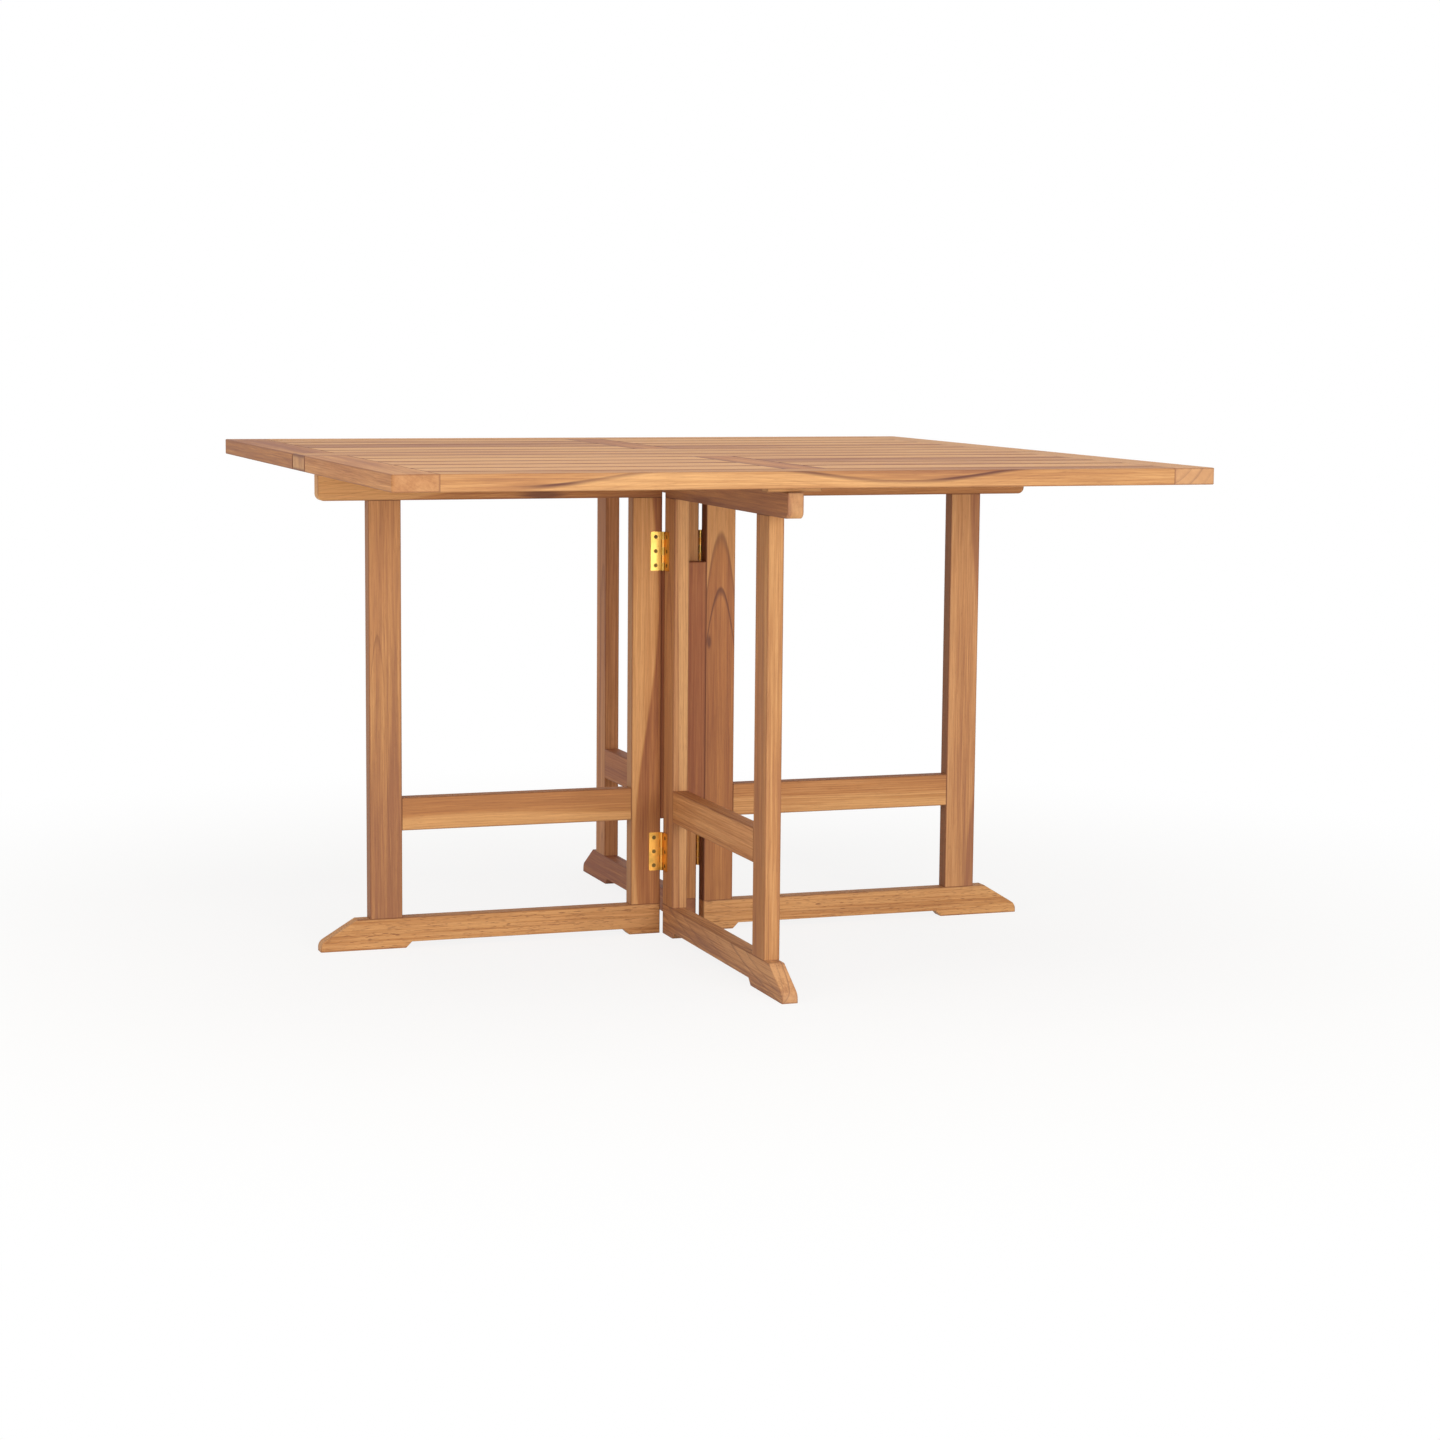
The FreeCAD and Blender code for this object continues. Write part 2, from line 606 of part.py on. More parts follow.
        ease(end, "corner", at_table_corner, "corner_radius")
        ease(end, "eased", lambda middle, along, box: not parallel(along, Z))
        housed(f"{label}_{side}_end_rail", end, [inner, outer, slats])
    housed(f"{label}_inner_rail", inner, [cross, *leaf_holes])
    housed(f"{label}_outer_rail", outer, [cross])
    housed(f"{label}_cross_rail", cross, [*slat_groups, *cleat_holes])
    housed(f"{label}_gate_cleat", cleat, cleat_holes)

piece("base_hinge_screws", group("base_screws_group", base_screws))

# The strip that the two leaves hang on.
strip = new_body("centre_strip_blank")
block(
    strip, "board", ("-top_length / 2", "-strip_width / 2", TOP_UNDERSIDE),
    ("top_length", "strip_width", "top_thickness"),
)
ease(strip, "eased", lambda middle, along, box: True)
housed("centre_strip", strip, strip_guests)

doc.recompute()
for thing in doc.Objects:
    if {"Invalid", "Error"} & set(thing.State):
        raise RuntimeError(f"{thing.Label} did not recompute: {thing.State}")
for thing in pieces:
    if thing.Shape.isNull() or not thing.Shape.isValid() or not thing.Shape.Solids:
        raise RuntimeError(f"{thing.Label} is not a valid solid")

os.makedirs("parts", exist_ok=True)
for thing in pieces:
    thing.Shape.exportStep(f"parts/{thing.Label}.step")
print(f"{len(pieces)} parts written")
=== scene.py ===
import bpy
import math
from mathutils import Matrix, Vector


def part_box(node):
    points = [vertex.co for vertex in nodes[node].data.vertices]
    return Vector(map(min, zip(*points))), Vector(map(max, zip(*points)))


# Folding garden table of oiled teak with brass butt hinges, open on a pale studio floor.
# Metres, X along the centre strip, Y to the back, Z up, the origin on the floor under the middle.

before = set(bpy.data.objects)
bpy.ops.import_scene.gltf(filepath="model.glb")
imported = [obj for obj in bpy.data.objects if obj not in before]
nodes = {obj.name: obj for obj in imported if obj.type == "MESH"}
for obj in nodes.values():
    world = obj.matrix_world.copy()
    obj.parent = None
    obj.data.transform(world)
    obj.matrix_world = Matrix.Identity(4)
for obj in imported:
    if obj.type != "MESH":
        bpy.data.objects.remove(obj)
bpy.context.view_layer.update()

MM = 0.001
X, Y, Z = 0, 1, 2

# The photograph's camera, in metres and radians: place, turn from +Y towards +X, downward tilt, roll.
CAMERA_PLACE = (-1.5328, -4.5547, 0.9510)
CAMERA_TURN = 0.33741
CAMERA_TILT = 0.12772
CAMERA_ROLL = -0.00872
SENSOR_WIDTH = 36
FOCAL_LENGTH = 77.605

# Soft lamps: place, size, power and colour. The world is seen at strength 1, but lights the table
# at the strength given here.
LAMPS = {
    "key": ((0.6, -4.6, 1.05), 1.8, 110, (1.0, 0.98, 0.94)),
    "fill": ((-3.6, -1.6, 1.3), 1.8, 44, (1.0, 0.93, 0.84)),
    "top": ((0.0, -0.6, 3.6), 2.6, 45, (1.0, 0.97, 0.92)),
}
LAMP_AIM = (0, 0, 0.45)
WORLD_STRENGTH = 0.55
WHITE = (1.0, 1.0, 1.0, 1.0)

# The floor's colour and half width. Near the table it is seen as glowing white by this share, and
# between these distances from its middle it fades into pure white.
FLOOR_COLOUR = (0.80, 0.78, 0.75)
FLOOR_REACH = 30.0
WHITE_SHARE = 0.85
FADE_START, FADE_END = 0.8, 1.9

# Teak colours, linear: sapwood gold, middle wood, heartwood, ring lines, mineral streaks and pale
# wood, and the filter that makes wood redder.
GOLD = (0.690, 0.372, 0.146)
MIDDLE = (0.500, 0.232, 0.078)
HEART = (0.290, 0.110, 0.045)
LINE = (0.170, 0.062, 0.034)
STREAK = (0.130, 0.050, 0.035)
PALE = (0.680, 0.460, 0.270)
RED_FILTER = (0.93, 0.76, 0.86)

# How much paler end grain is than the other faces, and how much more oil it drinks, as shares.
END_PALE = 0.12
END_OIL = 0.18

# Cells of the wood's noise patterns, in metres across and along the grain.
CELLS = {
    "drift": (0.30, 0.34),
    "bend": (0.03, 0.11),
    "patch": (0.09, 0.30),
    "thread": (0.0032, 0.22),
    "fine": (0.0019, 0.075),
    "fibre": (0.0010, 0.050),
    "pore": (0.0009, 0.014),
    "fleck": (0.012, 0.22),
}
BAND_LENGTH = 0.80

# In a row of equal boards the seed grows by this step from board to board, and the pith is turned
# by up to so many radians.
SEED_STEP = 1.37
PITH_TURN = 6.0

# The wood's surface: relief of the grain, gloss, how unevenly the painted shade along the edges
# runs, where the painted shade on a board's side that faces -X fades out, and the fine line where
# two boards meet.
BUMP_HEIGHT = 0.12 * MM
BUMP_STRENGTH = 0.6
WOOD_SPECULAR = 0.2
ARRIS_SHADE_WAVER = 1.6 * MM
SIDE_SHADE_START, SIDE_SHADE_END = 0.6 * MM, 1.8 * MM
JOINT_LINE = 1.3 * MM
JOINT_DEPTH = 0.7

# Brass colours, linear, each with the colour of its tarnish, and the heights between which amber
# brass gives way to lemon.
LEMON, OLIVE = (0.56, 0.36, 0.09), (0.44, 0.26, 0.06)
AMBER, BROWN = (0.80, 0.41, 0.09), (0.60, 0.27, 0.05)
SCREW, SCREW_TARNISH = (0.20, 0.13, 0.04), (0.11, 0.07, 0.03)
AMBER_BELOW, LEMON_ABOVE = 0.25, 0.50
TARNISH_SCALE = 55.0
SCRATCH_SCALE = (900.0, 900.0, 60.0)


class Graph:
    """Adds nodes to one shader node tree. A socket, a number or a tuple serves as an input."""

    def __init__(self, tree):
        self.tree = tree

    def add(self, kind, inputs=(), output=0, **settings):
        node = self.tree.nodes.new(f"ShaderNode{kind}")
        for name, value in settings.items():
            setattr(node, name, value)
        pairs = inputs.items() if isinstance(inputs, dict) else enumerate(inputs)
        for key, value in pairs:
            self.feed(node.inputs[key], value)
        return node.outputs[output]

    def feed(self, socket, value):
        if isinstance(value, bpy.types.NodeSocket):
            self.tree.links.new(value, socket)
        else:
            socket.default_value = value

    def math(self, operation, *values, clamp=False):
        return self.add("Math", values, operation=operation, use_clamp=clamp)

    def vector(self, operation, *values):
        output = 1 if operation in ("LENGTH", "DISTANCE", "DOT_PRODUCT") else 0
        return self.add("VectorMath", values, output, operation=operation)

    def scale(self, vector, factor):
        return self.add("VectorMath", {0: vector, "Scale": factor}, operation="SCALE")

    def split(self, vector):
        node = self.tree.nodes.new("ShaderNodeSeparateXYZ")
        self.feed(node.inputs[0], vector)
        return list(node.outputs)

    def join(self, x, y, z):
        return self.add("CombineXYZ", (x, y, z))

    def ramp(self, value, low, high, to_low=0.0, to_high=1.0):
        """value mapped from one range to another, smoothly and without overshoot."""
        return self.add(
            "MapRange",
            {"Value": value, "From Min": low, "From Max": high, "To Min": to_low, "To Max": to_high},
            interpolation_type="SMOOTHSTEP",
        )

    def sway(self, value, size, base):
        """base plus a noise value, centred on nothing, times its size."""
        return self.math("MULTIPLY_ADD", self.math("SUBTRACT", value, 0.5), size, base)

    def blend(self, share, first, second, kind="MIX"):
        """Two colours mixed by a share. The Mix node has its colours at 6 and 7, the result at 2."""
        node = self.tree.nodes.new("ShaderNodeMix")
        node.data_type = "RGBA"
        node.blend_type = kind
        for key, value in ((0, share), (6, self.colour(first)), (7, self.colour(second))):
            self.feed(node.inputs[key], value)
        return node.outputs[2]

    @staticmethod
    def colour(value):
        return (*value, 1.0) if isinstance(value, tuple) and len(value) == 3 else value

    def noise(self, vector, detail=2.0, rough=0.5, distortion=0.0):
        """Noise from 0 to 1 at a vector already scaled to its cells."""
        return self.add(
            "TexNoise", {"Vector": vector, "Scale": 1.0, "Detail": detail, "Roughness": rough,
                         "Distortion": distortion},
        )


def cells(graph, grain, name, seed):
    """Coordinates for one of the patterns of CELLS."""
    across, along = CELLS[name]
    scaled = graph.vector("MULTIPLY", grain, (1 / across, 1 / across, 1 / along))
    return graph.vector("ADD", scaled, seed)


# What each board gives the teak group: places as vectors and the rest as numbers. Places and
# lengths are in metres.
TEAK_PLACES = ("Grain", "Pith", "Stain Place")
TEAK_NUMBERS = (
    "Seed", "Taper", "Wave", "Wave Length", "Wave Start", "Wander", "Ring Width", "Ring Lines",
    "Tone", "Fade", "Band", "Contrast", "Red", "Pale", "Heart", "Heart Depth", "Heart Edge", "Rim",
    "Vein", "Vein Depth", "Vein Width", "Figure Start", "Streaks", "Stain", "Stain Size", "Pores",
    "Edge", "Arris Shade", "Arris Shade Width", "Side", "Side Shade", "End",
)


def teak_group():
    """The wood itself, cut from a trunk: growth rings round a pith, heartwood, fibres and pores.

    Its Grain input is a place in the board, in metres from the board's middle, with Z along the
    grain. Heart and Vein are radii: the wood inside Heart is darker, and a dark line lies at Vein,
    both from Figure Start on along the grain. Edge and Side are distances from the nearest edge
    and from one side, near which shade is painted. End is 1 where a face cuts across the grain.
    """
    tree = bpy.data.node_groups.new("teak", "ShaderNodeTree")
    for kind, names in (("Vector", TEAK_PLACES), ("Float", TEAK_NUMBERS)):
        for name in names:
            tree.interface.new_socket(name, in_out="INPUT", socket_type=f"NodeSocket{kind}")
    for name, kind in (("Color", "Color"), ("Roughness", "Float"), ("Height", "Float")):
        tree.interface.new_socket(name, in_out="OUTPUT", socket_type=f"NodeSocket{kind}")
    given = tree.nodes.new("NodeGroupInput").outputs
    made = tree.nodes.new("NodeGroupOutput").inputs
    g = Graph(tree)

    grain = given["Grain"]
    seed = g.scale((3.71, 7.13, 5.39), given["Seed"])

    # Distance from the pith, which leans against the board, waves along it and wanders a little.
    away = g.vector("MULTIPLY", g.vector("SUBTRACT", grain, given["Pith"]), (1.0, 1.0, 0.0))
    radius = g.vector("LENGTH", away)
    along = g.split(grain)[Z]
    radius = g.math("MULTIPLY_ADD", along, given["Taper"], radius)
    turn = g.math("DIVIDE", g.math("SUBTRACT", along, given["Wave Start"]), given["Wave Length"])
    swell = g.math("COSINE", g.math("MULTIPLY", turn, 2 * math.pi))
    radius = g.math("SUBTRACT", radius, g.math("MULTIPLY", swell, given["Wave"]))
    drift = g.noise(cells(g, grain, "drift", seed), 1.0, 0.4)
    bend = g.noise(cells(g, grain, "bend", seed), 2.0, 0.5)
    radius = g.sway(drift, g.math("MULTIPLY", given["Wander"], 5.0), radius)
    radius = g.sway(bend, given["Wander"], radius)

    # Growth rings: each year's line has a strength of its own, rises slowly and ends sharply.
    rings = g.math("DIVIDE", radius, given["Ring Width"])
    year = g.math("FLOOR", rings)
    season = g.math("FRACT", rings)
    strength = g.noise(g.join(g.math("MULTIPLY", year, 0.73), given["Seed"], 0.0), 0.0)
    strength = g.ramp(strength, 0.35, 0.72, 0.15, 1.0)
    line = g.math("MAXIMUM", g.ramp(season, 0.70, 1.0), g.ramp(season, 0.0, 0.10, 1.0, 0.0))
    line = g.math("MULTIPLY", g.math("MULTIPLY", line, strength), given["Ring Lines"])

    # Broad bands, patches, threads and fibres along the grain, and pores.
    bands = g.vector("DIVIDE", grain, g.join(given["Band"], given["Band"], BAND_LENGTH))
    band = g.noise(g.vector("ADD", bands, seed), 3.0, 0.6)
    patch = g.noise(cells(g, grain, "patch", seed), 2.0, 0.5)
    thread = g.noise(cells(g, grain, "thread", seed), 2.0, 0.6)
    fine = g.noise(cells(g, grain, "fine", seed), 2.0, 0.6)
    fibre = g.noise(cells(g, grain, "fibre", seed), 3.0, 0.65)
    pore = g.noise(cells(g, grain, "pore", seed), 1.0, 0.5)
    pores = g.math("MULTIPLY", g.ramp(pore, 0.60, 0.72), g.math("MULTIPLY_ADD", line, 0.8, 0.3))

    # Heartwood inside one radius, with an uneven edge.
    outside = g.math("DIVIDE", g.math("SUBTRACT", radius, given["Heart"]), given["Heart Edge"])
    heart = g.ramp(g.sway(thread, 1.0, outside), -1.0, 1.0, 1.0, 0.0)
    figure = g.ramp(g.math("SUBTRACT", along, given["Figure Start"]), 0.0, 0.07)
    heart = g.math("MULTIPLY", g.math("MULTIPLY", heart, figure), given["Heart Depth"])

    # Depth of colour, from sapwood gold to heartwood. End grain is calmer than the faces.
    calm = g.math("MULTIPLY_ADD", given["End"], -0.75, 1.0)
    busy = g.math("MULTIPLY", given["Contrast"], calm)
    depth = g.math("MULTIPLY_ADD", along, given["Fade"], given["Tone"])
    depth = g.sway(band, g.math("MULTIPLY", given["Contrast"], 1.1), depth)
    depth = g.sway(patch, g.math("MULTIPLY", given["Contrast"], 0.5), depth)
    depth = g.sway(thread, g.math("MULTIPLY", busy, 0.90), depth)
    depth = g.sway(fine, g.math("MULTIPLY", busy, 0.80), depth)
    depth = g.math("MULTIPLY_ADD", line, 0.35, g.math("ADD", depth, heart))
    colour = g.blend(g.math("MULTIPLY", depth, 1.7, clamp=True), GOLD, MIDDLE)
    colour = g.blend(g.math("MULTIPLY_ADD", depth, 1.6, -0.9, clamp=True), colour, HEART)
    colour = g.blend(g.math("MULTIPLY", line, 0.60), colour, LINE)
    colour = g.blend(g.math("MULTIPLY_ADD", given["End"], END_PALE, given["Pale"]), colour, PALE)

    # Reddish wood loses green light first.
    red = g.sway(patch, 0.6, g.math("MULTIPLY_ADD", heart, 0.35, given["Red"]))
    red = g.math("MAXIMUM", red, 0.0)
    colour = g.blend(red, colour, RED_FILTER, "MULTIPLY")

    # The heartwood may end in a dark rim.
    rim = g.math("MULTIPLY", g.ramp(outside, -1.2, 0.0), g.ramp(outside, 0.0, 0.8, 1.0, 0.0))
    colour = g.blend(g.math("MULTIPLY", rim, given["Rim"]), colour, STREAK)

    # A dark vein at one radius, soft on its inner side, and short mineral streaks.
    beside = g.math("DIVIDE", g.math("SUBTRACT", radius, given["Vein"]), given["Vein Width"])
    vein = g.math("MULTIPLY", g.ramp(beside, -1.0, -0.1), g.ramp(beside, 0.0, 0.35, 1.0, 0.0))
    uneven = g.math("MULTIPLY", figure, g.ramp(patch, 0.35, 0.60, 0.35, 1.0))
    vein = g.math("MULTIPLY", vein, uneven)
    colour = g.blend(g.math("MULTIPLY", vein, given["Vein Depth"]), colour, STREAK)
    fleck = g.noise(cells(g, grain, "fleck", seed), 2.0, 0.5, 0.6)
    fleck = g.math("MULTIPLY", g.ramp(fleck, 0.62, 0.78), given["Streaks"])
    colour = g.blend(g.math("MULTIPLY", fleck, 0.75), colour, STREAK)

    # One stained spot, longer along the grain and broken up by the fibres.
    spot = g.vector("MULTIPLY", g.vector("SUBTRACT", grain, given["Stain Place"]), (1.0, 1.0, 0.35))
    spot = g.math("DIVIDE", g.vector("LENGTH", spot), given["Stain Size"])
    spot = g.ramp(g.sway(thread, 1.0, spot), 0.25, 1.0, 1.0, 0.0)
    colour = g.blend(g.math("MULTIPLY", spot, given["Stain"]), colour, STREAK)

    # Dark fibres and pores, and the oil that end grain drinks.
    fibres = g.math("MULTIPLY", calm, g.ramp(fibre, 0.2, 0.8, 0.30, 0.0))
    colour = g.blend(fibres, colour, LINE)
    dots = g.math("MULTIPLY", pores, g.math("MULTIPLY", calm, given["Pores"]))
    colour = g.blend(dots, colour, LINE)
    oil = g.math("MULTIPLY", g.ramp(given["End"], 0.6, 0.95), END_OIL)
    colour = g.blend(oil, colour, LINE)

    # Painted shade: darker along the edges, for the shade at rounded edges and in the gaps between
    # boards, and on the side that faces -X, which gets less light.
    arris = g.math("DIVIDE", g.sway(thread, ARRIS_SHADE_WAVER, given["Edge"]), given["Arris Shade Width"])
    arris = g.math("MULTIPLY", g.ramp(arris, 0.15, 1.0, 1.0, 0.0), given["Arris Shade"])
    colour = g.blend(arris, colour, LINE)
    side = g.ramp(given["Side"], SIDE_SHADE_START, SIDE_SHADE_END, 1.0, 0.0)
    colour = g.blend(g.math("MULTIPLY", side, given["Side Shade"]), colour, LINE)

    # Fibres and pores are rougher, pores and ring lines lie deeper.
    rough = g.math("MULTIPLY_ADD", fibre, 0.16, 0.50)
    rough = g.math("MULTIPLY_ADD", pores, 0.12, rough)
    height = g.math("MULTIPLY_ADD", fibre, 0.5, g.math("MULTIPLY", line, -0.25))
    height = g.math("MULTIPLY_ADD", pores, -0.6, height)
    for name, value in (("Color", colour), ("Roughness", rough), ("Height", height)):
        g.feed(made[name], value)
    return tree


def new_material(name):
    """An empty node material, its graph and its surface shader."""
    material = bpy.data.materials.new(name)
    material.use_nodes = True
    tree = material.node_tree
    tree.nodes.clear()
    graph = Graph(tree)
    shader = tree.nodes.new("ShaderNodeBsdfPrincipled")
    out = tree.nodes.new("ShaderNodeOutputMaterial")
    tree.links.new(shader.outputs["BSDF"], out.inputs["Surface"])
    return material, graph, shader


TEAK = teak_group()

# A board's cut of teak; what a board doesn't give is taken from here. Lengths, and places in the
# room, are in millimetres. pith is where the trunk's middle lies, across the board. wave holds the
# size, length and crest of a wave of the grain, taper its lean and wander its unevenness. ring is
# the width of a year, and lines the strength of its dark line. tone goes from 0, light, to about 1,
# dark, fade is its change per metre along the board, and variety its change between the boards of
# a row. heart_at and vein_at are places on the heartwood's boundary and on a dark vein.
PLAIN_CUT = dict(
    pith=None, taper=0.02, wave=(0, 1000, 0), wander=4, ring=6, lines=0.35,
    tone=0.4, fade=0.0, variety=0.7, band=16, contrast=1.0, red=0.1, pale=0.0, pores=0.6,
    heart_at=None, heart=0.0, heart_edge=4, rim=0.0, vein_at=None, vein=0.0, vein_width=3,
    figure_from=-9999, streaks=0.15, stain_at=None, stain=0.0, stain_size=16,
    # The last three entries set painted shade: its depth on the side that faces -X, and its depth and
    # width along the edges.
    side=0.0, arris=0.50, arris_width=2.6,
)

# The teak group's inputs that are fed by one entry of a cut, plain numbers and lengths.
CUT_NUMBERS = {
    "Taper": "taper", "Ring Lines": "lines", "Fade": "fade", "Contrast": "contrast", "Red": "red",
    "Pale": "pale", "Heart Depth": "heart", "Rim": "rim", "Vein Depth": "vein", "Pores": "pores",
    "Streaks": "streaks", "Stain": "stain", "Side Shade": "side", "Arris Shade": "arris",
}
CUT_LENGTHS = {
    "Wander": "wander", "Ring Width": "ring", "Band": "band", "Heart Edge": "heart_edge",
    "Vein Width": "vein_width", "Stain Size": "stain_size", "Arris Shade Width": "arris_width",
}


def side_axes(run):
    """The two axes across a board."""
    return [axis for axis in (X, Y, Z) if axis != run]


def in_grain(point, run, middle):
    """A place in the room, in metres, as a place in a board, with the last axis along the grain."""
    first, second = side_axes(run)
    return tuple(point[axis] - middle[axis] for axis in (first, second, run))


def ring_radius(place, pith, cut, run, middle):
    """The teak group's radius at a place in the room given in millimetres, without its wander."""
    across, up, along = in_grain([value * MM for value in place], run, middle)
    size, length, crest = cut["wave"]
    turn = (along - (crest * MM - middle[run])) / (length * MM)
    swell = size * MM * math.cos(2 * math.pi * turn)
    return math.hypot(across - pith[0], up - pith[1]) + along * cut["taper"] - swell


def from_arris(g, parts, half):
    """How far a place in a box is from the box's nearest edge, from its distances to the faces."""
    first, second, third = (
        g.math("SUBTRACT", size, g.math("ABSOLUTE", part)) for part, size in zip(parts, half)
    )
    near, far = g.math("MINIMUM", first, second), g.math("MAXIMUM", first, second)
    return g.math("MAXIMUM", near, g.math("MINIMUM", far, third))


def board_of_row(g, parts, middle, row, seed, pith, cut):
    """Seed, tone and pith of that board of a row of equal boards in which a place lies.

    row holds the axis that the boards lie across, the place where the row starts and their pitch.
    The place across the row, in parts, becomes a place across its own board.
    """
    across, start, pitch = row
    count = g.math("MULTIPLY", g.math("SUBTRACT", parts[across], start - middle[across]), 1 / pitch)
    index = g.math("FLOOR", count)
    parts[across] = g.math("MULTIPLY", g.math("SUBTRACT", g.math("FRACT", count), 0.5), pitch)
    chance = g.add("TexWhiteNoise", {"Vector": g.join(index, seed, 0.0)})
    tone = g.sway(chance, cut["variety"], cut["tone"])
    angle = g.math("MULTIPLY", chance, PITH_TURN)
    far = math.hypot(*pith)
    aside, up = (g.math("MULTIPLY", g.math(part, angle), far) for part in ("COSINE", "SINE"))
    return g.math("MULTIPLY_ADD", index, SEED_STEP, seed), tone, g.join(aside, up, 0.0)


def teak(name, run, middle, seed, half, ends=None, row=None, **given):
    """Teak for one board, or a row of equal boards, along the axis run and round the point middle.

    half holds half the board's size along X, Y and Z. ends holds the two places along the board
    where it meets its neighbours, drawn as fine lines. row describes a row of boards, as
    board_of_row says. What is given overrides PLAIN_CUT.
    """
    cut = PLAIN_CUT | given
    material, g, shader = new_material(name)
    room = g.add("TexCoord", output="Object")
    parts = g.split(g.vector("SUBTRACT", room, tuple(middle)))
    first, second = side_axes(run)

    if cut["pith"]:
        pith = [value * MM - middle[axis] for value, axis in zip(cut["pith"], (first, second))]
    else:
        # The seed gives the pith a place 60 to 140 mm from the board's middle.
        far, angle = 0.06 + 0.02 * (seed * 7 % 5), seed * 2.4
        pith = [far * math.cos(angle), far * math.sin(angle)]
    board_seed, tone, board_pith = seed, cut["tone"], (*pith, 0.0)
    if row:
        board_seed, tone, board_pith = board_of_row(g, parts, middle, row, seed, pith, cut)

    size, length, crest = cut["wave"]
    values = {socket: cut[entry] for socket, entry in CUT_NUMBERS.items()}
    values |= {socket: cut[entry] * MM for socket, entry in CUT_LENGTHS.items()}
    values |= {
        "Grain": g.join(parts[first], parts[second], parts[run]),
        "Seed": board_seed,
        "Tone": tone,
        "Pith": board_pith,
        "Wave": size * MM,
        "Wave Length": length * MM,
        "Wave Start": crest * MM - middle[run],
        "Figure Start": cut["figure_from"] * MM - middle[run],
        "Edge": from_arris(g, parts, half),
        "Side": g.math("ADD", parts[first], half[first]),
        "End": g.math("ABSOLUTE", g.split(g.add("NewGeometry", output="Normal"))[run]),
    }
    for socket, place in (("Heart", cut["heart_at"]), ("Vein", cut["vein_at"])):
        if place:
            values[socket] = ring_radius(place, pith, cut, run, middle)
    if cut["stain_at"]:
        values["Stain Place"] = in_grain([value * MM for value in cut["stain_at"]], run, middle)
    group = g.tree.nodes.new("ShaderNodeGroup")
    group.node_tree = TEAK
    for socket, value in values.items():
        g.feed(group.inputs[socket], value)

    colour = group.outputs["Color"]
    if ends:
        place = g.split(room)[run]
        low, high = ends
        near_low = g.ramp(place, low, low + JOINT_LINE, 1.0, 0.0)
        near_high = g.ramp(place, high - JOINT_LINE, high)
        joint = g.math("MAXIMUM", near_low, near_high)
        colour = g.blend(g.math("MULTIPLY", joint, JOINT_DEPTH), colour, LINE)
    relief = {"Strength": BUMP_STRENGTH, "Distance": BUMP_HEIGHT, "Height": group.outputs["Height"]}
    g.feed(shader.inputs["Base Color"], colour)
    g.feed(shader.inputs["Roughness"], group.outputs["Roughness"])
    g.feed(shader.inputs["Normal"], g.add("Bump", relief))
    shader.inputs["Specular IOR Level"].default_value = WOOD_SPECULAR
    return material


def brass(name, clean, stained, roughness, low_down=None):
    """Brass with faint clouds of tarnish and fine wear, of another colour low down if one is given."""
    material, g, shader = new_material(name)
    place = g.add("TexCoord", output="Object")
    if low_down:
        clean = g.blend(g.ramp(g.split(place)[Z], AMBER_BELOW, LEMON_ABOVE), low_down, clean)
    cloud = g.noise(g.scale(place, TARNISH_SCALE), 2.0, 0.5)
    scratch = g.noise(g.vector("MULTIPLY", place, SCRATCH_SCALE), 1.0, 0.5)
    g.feed(shader.inputs["Base Color"], g.blend(g.ramp(cloud, 0.40, 0.80), clean, stained))
    g.feed(shader.inputs["Roughness"], g.math("MULTIPLY_ADD", scratch, 0.10, roughness))
    shader.inputs["Metallic"].default_value = 1.0
    return material


def dress(name, material):
    """Put one material on every slot of a CAD node."""
    slots = nodes[name].material_slots
    if not slots:
        nodes[name].data.materials.append(material)
    for slot in slots:
        slot.material = material


def middle_of(name):
    low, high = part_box(name)
    return (low + high) / 2


def half_of(name):
    low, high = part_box(name)
    return (high - low) / 2


